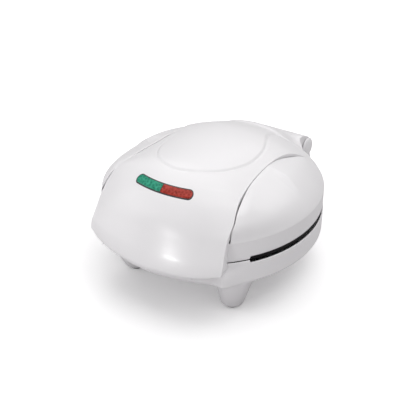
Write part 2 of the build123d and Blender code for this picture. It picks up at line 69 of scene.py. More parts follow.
# The tail: its slope, height over the barrel's axis, half width and end; its shoulders; where arch and crown end
TAIL_FALL, TAIL_RISE, TAIL_HALF, TAIL_END = math.radians(26.4), 12.2, 38.2, 144.5
TAIL_FLAT, TAIL_SHOULDER, TAIL_SHOULDER_FADE = 17, 0.022, (104, 130)
TAIL_ARCH_FADE, TAIL_JOIN = (88, 130), (77, 85)
TAIL_SOFT, TAIL_SOFT_SIDE, TAIL_SOFT_RANGE = 3, 8, (12, 34)
TAIL_EDGE_START, TAIL_EDGE_SOFT = 60, 16.0
# The raised disc: flare of its neck, where neck and disc fade, half width of the step, the line beside it
NECK_FLARE, NECK_FLARE_START, NECK_SOFT = 0.3, 76, 12.0
NECK_FADE, NECK_FADE_SIDE, DISC_FADE = (72, 79), (41, 48), (90, 106)
DISC_STEP, LINE_DEPTH, LINE_PLACE, LINE_WIDTH = 1.1, 0.8, 0.7, 1.0
# How far the hood stands proud of the cheeks at the rear, and where
REAR_LIP, REAR_LIP_START, REAR_LIP_SIDE = 1.2, (70, 92), (45, 62)
# Radius of the hinge's rings, and of the room that the tail leaves for them
BARREL, BARREL_ROOM = 9.5, 9.9


def length(name, default, description):
    """A size in metres that a user may change."""
    return FloatProperty(name=name, default=default, unit="LENGTH", description=description)


def tint(name, default, description):
    """A colour that a user may change."""
    return FloatVectorProperty(name=name, default=default, subtype="COLOR", size=3, min=0, max=1,
                               description=description)


class CookerBody(bpy.types.PropertyGroup):
    """Sizes of the oval body; heights are taken from the rim of the base."""
    half_width: length("Half width", 0.11498, "Half of the oval across")
    half_length: length("Half length", 0.1253, "Half of the oval from front to back")
    axis_back: length("Axis", -0.0095, "Where the oval's middle lies along the part")
    rim: length("Rim height", 0.0713, "Height of the base's rim above the worktop")
    band: length("Band", 0.0205, "Drop of the straight band below the rim")
    under: length("Well", 0.027, "Drop of the underside below the rim")
    wall: length("Wall", 0.0026, "Thickness of the mouldings")
    slot: length("Slot", 0.0065, "Height of the slot between base and lid")
    crease: length("Crease", 0.0245, "Height of the crease where the skirt turns into the crown")
    rise: length("Crown rise", 0.0514, "Rise of the crown above the crease")
    lean: length("Crown lean", 0.016, "How far the top of the crown leans forward")
    front_rim: length("Front rim", 0.092, "Half width of the raised front rim")


class CookerHood(bpy.types.PropertyGroup):
    """Sizes of the hood, visor and raised disc."""
    half_width: length("Visor half width", 0.0766, "Half width of the visor")
    waist: length("Waist", 0.0622, "Half width of the hood at its narrowest")
    waist_back: length("Waist place", 0.014, "Where the hood is narrowest")
    waist_round: length("Waist radius", 0.318, "Radius of the grooves in front of the waist")
    waist_flare: length("Rear radius", 0.178, "Radius of the grooves behind the waist")
    gap: length("Groove gap", 0.0008, "Half of the gap between hood and cheek")
    wall: length("Hood wall", 0.0024, "Thickness of the hood")
    arch: length("Arch radius", 0.143, "Radius that rounds the hood from side to side")
    sweep: length("Sweep centre", 0.011, "Where the front's round sweep has its centre")
    drop: length("Visor drop", 0.0098, "Drop of the visor's edge below the rim")
    disc_width: length("Disc half width", 0.0504, "Half width of the raised oval")
    disc_length: length("Disc half length", 0.068, "Half length of the raised oval")
    disc_back: length("Disc centre", -0.002, "Where the raised oval's centre lies")
    disc_rise: length("Disc rise", 0.0008, "Height of the raised oval and neck")
    neck: length("Neck", 0.0303, "Half width of the neck behind the raised oval")
    lamp_ring: length("Lamp ring", 0.1024, "Radius of the lamp window's middle line")


class CookerFinish(bpy.types.PropertyGroup):
    """Colours of the finishes."""
    shell: tint("Shell", (0.80, 0.786, 0.80), "White moulded plastic")
    green: tint("Green lens", (0.012, 0.22, 0.135), "Green lamp lens")
    red: tint("Red lens", (0.28, 0.016, 0.006), "Red lamp lens")
    border: tint("Lens border", (0.03, 0.028, 0.03), "Dark line round the lenses")
    plate: tint("Plate", (0.007, 0.007, 0.008), "Non-stick coat")


class CookerStage(bpy.types.PropertyGroup):
    """The camera and the light."""
    azimuth: FloatProperty(name="Azimuth", default=34.0, description="Camera's angle round the part, in degrees")
    elevation: FloatProperty(name="Elevation", default=30.018, description="Camera's angle above the worktop")
    distance: length("Distance", 0.87487, "From the aim point to the camera")
    aim_side: length("Aim to the side", -0.014415, "Aim point to the right of the oval's middle")
    aim_up: length("Aim height", 0.074799, "Aim point above the worktop")
    lens: FloatProperty(name="Lens", default=73.27, description="Focal length in millimetres")


# ---- shader maths ----
class Wire:
    """A shader socket whose operators add Math nodes."""

    def __init__(self, shader, socket):
        self.shader = shader
        self.socket = socket

    def calc(self, operation, *others):
        """One Math node on this socket and the other values."""
        return self.shader.node("ShaderNodeMath", {"operation": operation}, [self, *others])

    def __add__(self, other):
        return self.calc("ADD", other)

    def __mul__(self, other):
        return self.calc("MULTIPLY", other)

    __radd__, __rmul__ = __add__, __mul__

    def __sub__(self, other):
        return self.calc("SUBTRACT", other)

    def __rsub__(self, other):
        return self.shader.node("ShaderNodeMath", {"operation": "SUBTRACT"}, [other, self])


class Shader:
    """The node tree of a material or world, with one method that adds any node."""

    def __init__(self, owner):
        self.owner = owner
        self.owner.use_nodes = True
        self.tree = self.owner.node_tree
        self.tree.nodes.clear()

    def node(self, kind, settings=None, sockets=(), output=0):
        """Adds a node, sets its settings, then its sockets by position or name; gives one output."""
        made = self.tree.nodes.new(kind)
        for key, value in (settings or {}).items():
            setattr(made, key, value)
        pairs = sockets.items() if isinstance(sockets, dict) else enumerate(sockets)
        for key, value in pairs:
            if isinstance(value, Wire):
                self.tree.links.new(value.socket, made.inputs[key])
            elif value is not None:
                made.inputs[key].default_value = value
        return Wire(self, made.outputs[output]) if made.outputs else None

    def mix(self, share, first, second):
        """Colour mix of two colours or wires."""
        return self.node("ShaderNodeMix", {"data_type": "RGBA"}, {0: share, 6: first, 7: second}, output=2)

    def noise(self, place, scale, detail):
        """Noise on object coordinates; scale is in waves per metre."""
        return self.node("ShaderNodeTexNoise", {}, {"Vector": place, "Scale": scale, "Detail": detail})

    def spread(self, value, low, high, start=0.0, end=1.0):
        """The value's way from low to high, laid over start to end and held there outside."""
        return self.node("ShaderNodeMapRange", {}, [value, low, high, start, end])

    def place(self):
        """Object coordinates."""
        return self.node("ShaderNodeTexCoord", output=3)

    def bump(self, height, strength, distance):
        """Bump from a height."""
        return self.node("ShaderNodeBump", {}, {"Height": height, "Strength": strength, "Distance": distance})

    def finish(self, **sockets):
        """The Principled shader and the output."""
        named = {key.replace("_", " "): value for key, value in sockets.items()}
        skin = self.node("ShaderNodeBsdfPrincipled", {}, named)
        self.node("ShaderNodeOutputMaterial", {}, [skin])
        return self.owner


def toned(colour, factor=1.0, lift=0.0):
    """The colour times a factor plus a lift, held to 1, with full alpha."""
    return (*(min(1.0, factor * c + lift) for c in colour), 1.0)


def moulded_plastic(name, colour, rough=0.31, grain=0.35):
    """Gloss plastic: faint flow marks in the colour, fine moulding texture in the bump, uneven gloss."""
    shader = Shader(bpy.data.materials.new(name))
    place = shader.place()
    flow = shader.noise(place, scale=14, detail=3)
    fine = shader.noise(place, scale=900, detail=2)
    wide = shader.noise(place, scale=55, detail=3)
    shade = shader.mix(flow, toned(colour, 0.965), toned(colour, 1.02))
    height = fine * 0.4 + wide * 0.6
    return shader.finish(Base_Color=shade, Roughness=flow * 0.05 + wide * 0.04 + (rough - 0.045),
                         Normal=shader.bump(height, strength=grain * 0.25, distance=0.00012), IOR=1.49,
                         Coat_Weight=0.12, Coat_Roughness=0.12)


def lens_plastic(name, colour):
    """Tinted lens over a prism pattern: small cells lighten and darken the colour."""
    shader = Shader(bpy.data.materials.new(name))
    place = shader.place()
    cells = shader.node("ShaderNodeTexVoronoi", {"feature": "F1"}, {"Vector": place, "Scale": 420})
    cloud = shader.noise(place, scale=260, detail=3)
    mask = shader.spread(cells * 0.7 + cloud * 0.5, 0.2, 0.9)
    shade = shader.mix(mask, toned(colour, 0.55), toned(colour, 1.5, 0.03))
    return shader.finish(Base_Color=shade, Roughness=cloud * 0.12 + 0.16,
                         Normal=shader.bump(cells, strength=0.35, distance=0.0003), IOR=1.5,
                         Specular_IOR_Level=0.25)


def nonstick_coat(name, colour):
    """Non-stick coat: near-black with a fine lighter fleck and a soft satin."""
    shader = Shader(bpy.data.materials.new(name))
    place = shader.place()
    fleck = shader.noise(place, scale=2600, detail=1)
    cloud = shader.noise(place, scale=60, detail=3)
    shade = shader.mix(shader.spread(fleck, 0.62, 0.72) * 0.2, toned(colour), toned((0.08, 0.08, 0.085)))
    return shader.finish(Base_Color=shade, Roughness=cloud * 0.12 + 0.5, Specular_IOR_Level=0.3,
                         Normal=shader.bump(fleck, strength=0.2, distance=0.00015))


def drawn_metal(name, colour, rough=0.3, stretch=(1, 1, 18)):
    """Metal with fine drawing lines along the axis that is stretched."""
    shader = Shader(bpy.data.materials.new(name))
    place = shader.place()
    lines = shader.node("ShaderNodeMapping", {}, {"Vector": place, "Scale": stretch})
    streak = shader.noise(lines, scale=320, detail=3)
    cloud = shader.noise(place, scale=40, detail=2)
    shade = shader.mix(cloud, toned(colour, 0.85), toned(colour))
    return shader.finish(Base_Color=shade, Metallic=1.0, Roughness=streak * 0.15 + (rough - 0.06),
                         Normal=shader.bump(streak, strength=0.12, distance=0.0001))


def plain_moulding(name, colour, rough):
    """Matt moulded plastic or rubber with an even fine grain."""
    shader = Shader(bpy.data.materials.new(name))
    place = shader.place()
    grain = shader.noise(place, scale=1500, detail=2)
    cloud = shader.noise(place, scale=70, detail=2)
    shade = shader.mix(cloud, toned(colour, 0.88), toned(colour))
    return shader.finish(Base_Color=shade, Roughness=grain * 0.12 + (rough - 0.06),
                         Normal=shader.bump(grain, strength=0.3, distance=0.00015))


MADE = {}


def finish_named(name):
    """The finish of that name, made once."""
    if name not in MADE:
        look = bpy.context.scene.cooker_finish
        recipes = {
            "white_plastic": lambda: moulded_plastic(name, look.shell),
            "green_lens": lambda: lens_plastic(name, look.green),
            "red_lens": lambda: lens_plastic(name, look.red),
            "black_plastic": lambda: plain_moulding(name, look.border, rough=0.4),
            "nonstick": lambda: nonstick_coat(name, look.plate),
            "steel": lambda: drawn_metal(name, (0.56, 0.56, 0.57)),
            "plated_sheet": lambda: drawn_metal(name, (0.66, 0.66, 0.65), rough=0.38, stretch=(18, 1, 1)),
            "rubber": lambda: plain_moulding(name, (0.035, 0.035, 0.037), rough=0.75),
            "terminal_plastic": lambda: plain_moulding(name, (0.62, 0.59, 0.52), rough=0.55),
            "lamp_glass": lambda: moulded_plastic(name, (0.85, 0.72, 0.6), rough=0.12, grain=0.1),
        }
        MADE[name] = recipes[name]()
    return MADE[name]


# ---- shapes ----
class Sizes:
    """The user's sizes in millimetres, from the body's upright axis and the rim."""

    def __init__(self, scene):
        body, hood = scene.cooker_body, scene.cooker_hood
        for group, prefix in ((body, ""), (hood, "hood_")):
            for key in group.__annotations__:
                setattr(self, prefix + key, 1000 * getattr(group, key))
        self.crease_width = self.half_width - SKIRT_INSET
        self.crease_length = self.half_length - SKIRT_INSET
        self.barrel_back = HINGE[1] - self.axis_back
        self.barrel_up = HINGE[2] - self.rim


def smooth_step(value, low, high):
    """3t^2 - 2t^3 of the value's share of the way from low to high, held to 0 and 1 outside."""
    t = np.clip((value - low) / (high - low), 0, 1)
    return t * t * (3 - 2 * t)


def soft_min(a, b, reach):
    """Lower of two surfaces, with the corner between them rounded over a reach."""
    h = np.clip(reach - np.abs(a - b), 0, None) / reach
    return np.minimum(a, b) - h * h * reach / 4


def sag(radius, x):
    """How far a circle lies below its top at x from it: r - sqrt(r^2 - x^2)."""
    return radius - np.sqrt(np.clip(radius ** 2 - x * x, 0, None))


def quarter_circle(t):
    """sqrt(1 - (1 - t)^2): the rise of a quarter circle at share t of its width, held to its ends outside."""
    return np.sqrt(np.clip(1 - (1 - np.clip(t, 0, 1)) ** 2, 0, 1))


def walked(points):
    """Distance walked along the points: the running sum of the steps between them, from 0."""
    return np.concatenate([[0], np.cumsum(np.linalg.norm(np.diff(points, axis=0), axis=1))])


def oval_share(t, power):
    """(1 - t^1.2)^power: how far an oval of the crown has shrunk at share t of its rise."""
    return np.clip(1 - t ** 1.2, 0, 1) ** power


def crown_oval(s, t, y):
    """Half width, half length, shift and power n of the crown's oval |x/a|^n + |y/b|^n = 1 at share t."""
    shift = -s.lean * t ** 1.5
    front = y < shift
    depth = s.crease_length * np.where(front, oval_share(t, 0.22), oval_share(t, 0.30))
    power = np.where(front, 2 + 0.28 * smooth_step(t, 0.0, 0.35), 2.0)
    return s.crease_width * oval_share(t, 0.38), depth, shift, power


def crown_edge(s, t, y):
    """Half width of the crown at y and share t: a (1 - |(y - shift) / b|^n)^(1/n)."""
    width, depth, shift, power = crown_oval(s, t, y)
    along = np.abs((y - shift) / np.maximum(depth, 1e-6))
    return width * np.clip(1 - along ** power, 0, 1) ** (1 / power)


def crown_share(s, x, y):
    """Share t at which the crown's oval passes through (x, y), by halving the range 40 times."""
    low = np.zeros(np.broadcast(x, y).shape)
    high = np.ones_like(low)
    for _ in range(40):
        t = (low + high) / 2
        inside = np.abs(x) < crown_edge(s, t, y)
        low = np.where(inside, t, low)
        high = np.where(inside, high, t)
    return (low + high) / 2


def smooth_curve(points, count):
    """Cubic curve through the points: on each stretch the Hermite sum of both ends and their slopes."""
    steps = walked(points)
    fine = np.linspace(0, steps[-1], count)
    slopes = np.gradient(points, steps, axis=0)
    k = np.clip(np.searchsorted(steps, fine, side="right") - 1, 0, len(points) - 2)
    span = (steps[k + 1] - steps[k])[:, None]
    u = (fine - steps[k])[:, None] / span
    return ((2 * u**3 - 3 * u**2 + 1) * points[k] + (u**3 - 2 * u**2 + u) * span * slopes[k]
            + (3 * u**2 - 2 * u**3) * points[k + 1] + (u**3 - u**2) * span * slopes[k + 1])


# Side view of the visor and slope on the middle line: place along the part, height
SLOPE_SIDE = smooth_curve(np.array([(-132.6, -21.0), (-130.9, -11.0), (-128.9, -3.0), (-126.0, 6.0), (-122.4, 15.0),
                                    (-118.2, 25.0), (-111.4, 40.0), (-101.6, 52.0), (-90.5, 61.2),
                                    (-72.0, 73.0), (-50.0, 84.0), (-20.0, 96.0)]), 600)
# Visor seen from the front and from above: height, half width, radius of its sweep
VISOR_FORM = smooth_curve(np.array([(-11.0, 74.6, 146.0), (-9.0, 76.4, 156.0), (-5.0, 78.2, 168.0),
                                    (0.0, 80.0, 176.0), (6.0, 80.2, 176.0), (12.0, 79.2, 170.0),
                                    (20.0, 78.1, 160.0), (28.0, 77.4, 150.0), (40.0, 76.8, 124.0),
                                    (61.0, 76.8, 101.5), (90.0, 76.8, 80.0)]), 400)


def visor_sag(x, middle):
    """How far the front's skin lies behind its middle line at x: the sag of the circle of its sweep there."""
    height = np.interp(middle, SLOPE_SIDE[:, 0], SLOPE_SIDE[:, 1])
    return sag(np.interp(height, VISOR_FORM[:, 0], VISOR_FORM[:, 2]), x)


def slope_place(x, y):
    """Where the sloping front's circle through (x, y) crosses the middle line, by repeated correction."""
    middle = np.array(np.broadcast_to(y, np.broadcast(x, y).shape), dtype=float)
    for _ in range(24):
        middle = 0.5 * middle + 0.5 * (y - visor_sag(x, middle))
    return middle


def behind_visor(s, points, setback):
    """Moves points under the hood that would stand in front of the visor's inner face back along the part."""
    x, y, z = points[..., 0], points[..., 1], points[..., 2]
    middle = np.interp(z, SLOPE_SIDE[:, 1], SLOPE_SIDE[:, 0])
    limit = middle + visor_sag(x, middle) + setback
    covered = np.abs(x) < np.where(z < VISOR_COVER_TOP, VISOR_COVER, hood_edge(s, y) - GROOVE_LAP)
    moved = points.copy()
    moved[..., 1] = np.where(covered & (y < limit) & (y < FRONT_PLACE), limit, y)
    return moved


def tail_height(s, x, y):
    """Straight slope that runs down over the barrel, less the arch's sag and the squared reach of the shoulders."""
    line = s.barrel_up + TAIL_RISE / math.cos(TAIL_FALL) - (y - s.barrel_back) * math.tan(TAIL_FALL)
    shoulder = TAIL_SHOULDER * np.clip(np.abs(x) - TAIL_FLAT, 0, None) ** 2
    return (line - sag(s.hood_arch, x) * (1 - smooth_step(y, *TAIL_ARCH_FADE))
            - shoulder * (1 - 0.95 * smooth_step(y, *TAIL_SHOULDER_FADE)))


def disc_distance(s, x, y):
    """Signed distance to the keyhole outline: an oval joined smoothly to a neck that flares to the rear."""
    across, along = x / s.hood_disc_width, (y - s.hood_disc_back) / s.hood_disc_length
    share = np.maximum(np.hypot(across, along), 1e-6)
    slope = np.hypot(across / s.hood_disc_width, along / s.hood_disc_length) / share
    disc = (share - 1) / slope
    flare = s.hood_neck + NECK_FLARE * np.clip(y - NECK_FLARE_START, 0, None) ** 2
    neck = np.maximum(np.abs(x) - flare, s.hood_disc_back - y)
    return soft_min(disc, neck, NECK_SOFT)


def hood_height(s, x, y):
    """Lowest of crown, side-to-side arch and front slope, softened; the tail joins on, the disc is raised."""
    side = np.abs(x)
    place = slope_place(x, y)
    brow = BROW_LIFT * np.clip(BROW_PLACE - place, 0, None) ** 2 * (y < 0)
    crown = s.crease + s.rise * crown_share(s, x, y) + brow
    arch = s.crease + s.rise - sag(s.hood_arch, x)
    slope = np.interp(place, SLOPE_SIDE[:, 0], SLOPE_SIDE[:, 1])
    front = soft_min(soft_min(crown, arch, CROWN_SOFT), slope, SLOPE_SOFT)
    reach = TAIL_SOFT + TAIL_SOFT_SIDE * smooth_step(side, *TAIL_SOFT_RANGE)
    joined = -soft_min(-front, -tail_height(s, x, y), reach)
    rear = smooth_step(y, *TAIL_JOIN)
    away = disc_distance(s, x, y)
    flank = smooth_step(y, *NECK_FADE) * smooth_step(side, *NECK_FADE_SIDE)
    fade = (1 - smooth_step(y, *DISC_FADE)) * (1 - flank)
    step = (1 - smooth_step(away, -DISC_STEP, DISC_STEP)) * s.hood_disc_rise
    line = -LINE_DEPTH * np.exp(-((away - LINE_PLACE) / LINE_WIDTH) ** 2)
    proud = REAR_LIP * smooth_step(y, *REAR_LIP_START) * smooth_step(side, *REAR_LIP_SIDE)
    return (1 - rear) * front + rear * joined + fade * (step + line) + proud


def hood_edge(s, y):
    """Half width of the hood at y: waisted grooves up to the visor, then the crease and the tail at the rear."""
    radius = np.where(y < s.hood_waist_back, s.hood_waist_round, s.hood_waist_flare)
    waist = s.hood_waist + sag(radius, np.clip(y - s.hood_waist_back, -140, 140))
    edge = np.minimum(waist - s.hood_gap, s.hood_half_width)
    edge = np.where(y > 0, np.minimum(edge, crown_edge(s, REAR_EDGE_SHARE, y)), edge)
    return np.where(y > TAIL_EDGE_START, -soft_min(-edge, -TAIL_HALF, TAIL_EDGE_SOFT), edge)


def closed_grid(s, rows, wrap_rows=False):
    """Points in metres in the part's frame and quads of a grid whose columns, and rows if asked, close up."""
    count, columns = rows.shape[:2]
    i, j = np.meshgrid(np.arange(count if wrap_rows else count - 1), np.arange(columns), indexing="ij")
    i, j = i.ravel(), j.ravel()
    i_next, j_next = (i + 1) % count, (j + 1) % columns
    quads = [i * columns + j, i_next * columns + j, i_next * columns + j_next, i * columns + j_next]
    return (rows + np.array([0, s.axis_back, s.rim])) * 0.001, np.stack(quads, 1)


def gathered(row):
    """As many points as the row has, all in its middle: they close an end and are welded to one."""
    return np.repeat(row.mean(1, keepdims=True), row.shape[1], 1)


def put_piece(name, parts, finish, body, *nodes):
    """Makes one mesh object of (points, faces) parts, welds it, turns its faces out, gives it its finish, hides the
    nodes it replaces and hangs it on its body.
    """
    total = 0
    points, faces = [], []
    for some_points, some_faces in parts:
        flat = np.asarray(some_points, dtype=float).reshape(-1, 3)
        points.append(flat)
        faces.extend((np.asarray(some_faces) + total).tolist())
        total += len(flat)
    mesh = bpy.data.meshes.new(name)
    mesh.from_pydata(np.concatenate(points).tolist(), [], faces)
    work = bmesh.new()
    work.from_mesh(mesh)
    bmesh.ops.remove_doubles(work, verts=work.verts, dist=WELD)
    bmesh.ops.dissolve_degenerate(work, edges=work.edges, dist=WELD)
    bmesh.ops.recalc_face_normals(work, faces=work.faces)
    work.to_mesh(mesh)
    work.free()
    mesh.polygons.foreach_set("use_smooth", np.ones(len(mesh.polygons), dtype=bool))
    mesh.update()
    piece = bpy.data.objects.new(name, mesh)
    bpy.context.scene.collection.objects.link(piece)
    mesh.materials.append(finish_named(finish))
    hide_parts(*nodes)
    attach(piece, body)


def grid_normals(points):
    """Unit normals of a grid of points from its central differences."""
    along = np.gradient(points, axis=0)
    across = np.gradient(points, axis=1)
    normal = np.cross(across, along)
    return normal / np.maximum(np.linalg.norm(normal, axis=2, keepdims=True), 1e-9)


def hood_rows(s):
    """Rows of the hood from the visor's edge to the rear: where each crosses the middle line."""
    front_end, front_count, lip_reach = -72, 120, 2.4
    front = SLOPE_SIDE[(SLOPE_SIDE[:, 1] > -s.hood_drop) & (SLOPE_SIDE[:, 0] < front_end)]
    walk = walked(front)
    even = np.linspace(0, walk[-1], front_count)
    front = np.interp(even, walk, front[:, 0])
    lip = np.interp(np.linspace(0, 1, 6)[:-1] ** 1.6 * lip_reach, even, front)
    rear = np.linspace(front[-1], TAIL_END, 208)[1:]
    return np.unique(np.concatenate([lip, front, rear]))


def hood_grid(s, middle, across):
    """Points of the hood's skin: rows bend like the visor in front and straighten towards the rear."""
    bend_start, bend_end = -90.5, 45
    start = np.minimum(middle, bend_start)
    bend = 1 - smooth_step(middle, bend_start, bend_end)
    height = np.interp(start, SLOPE_SIDE[:, 0], SLOPE_SIDE[:, 1])
    visor = np.interp(height, VISOR_FORM[:, 0], VISOR_FORM[:, 1])
    flared = 1 - smooth_step(height, *VISOR_TURN)
    edge = np.full_like(middle, 70.0)
    for _ in range(60):
        groove = hood_edge(s, middle + bend * visor_sag(edge, start))
        edge = 0.5 * edge + 0.5 * (flared * visor + (1 - flared) * groove)
    x = edge[:, None] * across[None, :]
    y = middle[:, None] + bend[:, None] * visor_sag(x, start[:, None])
    return np.stack([x, y, hood_height(s, x, y)], 2)


def hood_walls(s, middle, skin, rounding, over):
    """Both side walls, a quarter circle and a straight drop: down behind the grooves and as far as the hinge's
    ring, straight back beside the visor, as deep as the room in front of the cheeks."""
    shallow, deepest, thinnest, ring_gap, thinned, visor_inner = 3.4, 12.2, 0.2, 0.7, 0.8, 77.0
    cheek_front, cheek_set, least_room, deepening, deepened = -93.7, 6.5, 4.8, (100, 116), 9
    turns = np.linspace(0, math.pi / 2, 7)[1:]
    height = skin[:, 0, 2]
    visor = (1 - smooth_step(height, *VISOR_TURN)) * (middle < 0)
    room = np.clip(cheek_front - cheek_set * smooth_step(-height, 1, 9) - skin[:, 0, 1], least_room, None)
    ring = s.barrel_up + np.sqrt(np.clip(BARREL_ROOM ** 2 - (middle - s.barrel_back) ** 2, 0, None))
    deep = np.where(middle > s.barrel_back - BARREL_ROOM, np.clip(height - ring_gap - ring, thinnest, deepest),
                    shallow + deepened * smooth_step(middle, *deepening))
    depth = deep + (room - shallow) * visor
    radius = rounding - thinned * over[:, None]
    walls = []
    for side, edge in ((-1, skin[:, 0]), (1, skin[:, -1])):
        lean = -side * visor * (np.abs(edge[:, 0]) - visor_inner) / depth
        back = np.stack([lean, visor, -(1 - visor)], 1)
        back /= np.linalg.norm(back, axis=1, keepdims=True)
        out = np.array([side, 0.0, 0.0])
        curve = [edge + radius * (math.sin(a) * out + (1 - math.cos(a)) * back) for a in turns]
        drop = [curve[-1] + back * (depth * share)[:, None] for share in (0.4, 0.8, 1.0)]
        walls.append(np.stack(curve + drop, 1))
    return walls


def build_hood(s):
    """Hood: a C-shaped section of skin, round shoulders and return walls, carried from front to rear."""
    rounding, thinner, blend_count = 1.3, 0.55, 7
    lip_turn, lip_reach, over_ring = 3.2, 5.0, (126.5, 130.5)
    middle = hood_rows(s)
    skin = hood_grid(s, middle, np.linspace(-1, 1, 121))
    over = smooth_step(middle, *over_ring)
    left, right = hood_walls(s, middle, skin, rounding, over)
    outer = np.concatenate([left[:, ::-1], skin, right], 1)
    outer[..., 0] *= 1 - rounding / s.hood_half_width
    normal = grid_normals(skin)
    normal *= np.sign(normal[..., 2:3] + 1e-9)
    columns, pull = left.shape[1], np.array([1.0, 0, 0])
    inward = np.concatenate([np.broadcast_to(pull, left.shape), -normal, np.broadcast_to(-pull, right.shape)], 1)
    for k, share in enumerate(np.linspace(0, 1, blend_count + 2)[1:-1]):
        for column, towards in ((columns + k, pull), (-columns - 1 - k, -pull)):
            inward[:, column] = share * inward[:, column] + (1 - share) * towards
    inward /= np.linalg.norm(inward, axis=2, keepdims=True)
    walk = walked(skin[:, skin.shape[1] // 2])
    half = s.hood_wall / 2 - thinner * over
    outer[..., 1] += lip_turn * (1 - quarter_circle(walk / lip_reach))[:, None]
    swell = quarter_circle(np.minimum(walk, walk[-1] - walk) / half)
    core = outer + inward * half[:, None, None]
    reach = inward * (half * swell)[:, None, None]
    loop = np.concatenate([core - reach, (core + reach)[:, ::-1]], 1)
    put_piece("hood", [closed_grid(s, loop)], "white_plastic", "lid", "lid_hood")


def front_share(s, theta):
    """1 along the front, where the two rims meet in a seam, ramping to 0 where the slot opens."""
    x = np.abs(s.half_width * np.sin(theta))
    return np.where(np.cos(theta) > 0, 1 - smooth_step(x, s.front_rim - 0.7, s.front_rim), 0.0)


def round_angles(s):
    """Angles round the oval, evenly spread, with a few more where the slot ends and at the hood's corner."""
    even = np.linspace(0, 2 * math.pi, SEGMENTS_ROUND, endpoint=False)
    end = np.arcsin((s.front_rim - np.array([0.9, 0.7, 0.35, 0.0, -0.3])) / s.half_width)
    corner = s.hood_half_width + 2 * s.hood_gap + np.array([-0.5, -0.02, 0.02, 0.15, 0.4, 0.8, 1.3])
    more = np.concatenate([end, np.arcsin(corner / s.crease_width)])
    return np.unique(np.concatenate([even, more, 2 * math.pi - more]))


def oval_row(theta, half_width, half_length, height):
    """One row round an oval: (a sin t, -b cos t, height)."""
    return np.stack([half_width * np.sin(theta), -half_length * np.cos(theta),
                     np.broadcast_to(height, theta.shape)], 1)


def build_lid_shell(s):
    """Lid moulding: one closed section (skirt, crease, crown, groove edge, inside) for each angle."""
    groove_place, crown_steps, crowding, shelf_share, shelf_rise, shelf_reach = 0.985, 34, 1.35, 0.1, 0.6, 12
    edge_drop, edge_heights, most_above, full_share, full_width, least_span = 4.2, (45, 62), 12, 0.12, 5, 0.04
    rounding, inside_count, hood_wall, setback = 0.8, 10, 2.4, 3.5
    theta = round_angles(s)
    crease = oval_row(theta, s.crease_width, s.crease_length, s.crease)
    x_c, y_c = crease[:, 0], crease[:, 1]
    y_g = y_c * groove_place
    edge = hood_edge(s, y_c) + 2 * s.hood_gap
    cheek = np.abs(x_c) > edge
    share = np.where(cheek, crown_share(s, hood_edge(s, y_g) + 2 * s.hood_gap, y_g), 0.0)
    # Skirt from the inside down round the lip and up to the crease: height, inset, share of the front's lowering
    skirt = ((s.slot + 2.5, s.wall, 1), (s.slot + 0.7, s.wall, 1), (s.slot + 0.15, 2.2, 1), (s.slot, 1.3, 1),
             (s.slot + 0.15, 0.45, 1), (s.slot + 0.7, 0.05, 1), (s.slot + 2.5, 0.0, 0.8), (s.slot + 6, 0.0, 0.3),
             (s.slot + 10, 0.0, 0), (s.slot + 14, 0.0, 0), (s.crease - 1.5, 0.0, 0), (s.crease - 0.5, 0.02, 0))
    lowered = front_share(s, theta) * (s.slot - SEAM) / 2
    rows = [oval_row(theta, s.crease_width - inset, s.crease_length - inset, z - lower * lowered)
            for z, inset, lower in skirt]
    # Crown beside the hood; under the hood the same rows make a shelf
    beside = hood_height(s, hood_edge(s, y_g), y_g)
    above = np.clip(s.crease + s.rise * share - beside, 0, most_above) * (y_g < 0)
    for step in np.linspace(0, 1, crown_steps) ** crowding:
        height = s.crease + s.rise * share * step
        y = y_c + (y_g - y_c) * step
        shelf = 1 - shelf_share * step * smooth_step(edge - np.abs(x_c), 0, shelf_reach)
        drop = np.maximum(edge_drop * smooth_step(height, *edge_heights) * smooth_step(step, 0.62, 1.0) ** 1.5,
                          above * smooth_step(step, 0.3, 1.0))
        crown = np.stack([np.sign(x_c) * crown_edge(s, share * step, y), y, height - drop], 1)
        under = np.stack([x_c * shelf, y_c * shelf, np.full_like(x_c, s.crease + shelf_rise * step)], 1)
        rows.append(np.where(cheek[:, None], crown, under))
    # Round edge and wall of the groove, then back under the crown
    last = rows[-1]
    inward = np.stack([-np.sign(x_c) * cheek, np.zeros_like(x_c), np.zeros_like(x_c)], 1)
    down = np.array([0, 0, -1.0])
    span = np.clip(np.minimum(share / full_share, (np.abs(x_c) - edge) / full_width), least_span, 1)[:, None]
    for a in np.linspace(0, math.pi / 2, 6)[1:]:
        rows.append(last + span * rounding * (math.sin(a) * inward * 0.6 + (1 - math.cos(a)) * down))
    for deep in (2.0, 4.0):
        rows.append(rows[-1] + span * deep * down)
    rows.append(rows[-1] - span * hood_wall * inward)
    thinner = np.array([1 - s.wall / s.crease_width, 1 - s.wall / s.crease_length, 1])
    for step in np.linspace(0.9, 0.0, inside_count):
        source = rows[len(skirt) + int(round(step * (crown_steps - 1)))]
        rows.append(source * thinner + s.wall * smooth_step(step, 0, 0.3) * down)
    loop = np.stack(rows, 1)
    inner = np.zeros(loop.shape[1])
    inner[:2] = inner[-inside_count:] = hood_wall
    loop = behind_visor(s, loop, setback + inner)
    put_piece("lid_shell", [closed_grid(s, loop, wrap_rows=True)], "white_plastic", "lid", "lid_housing")


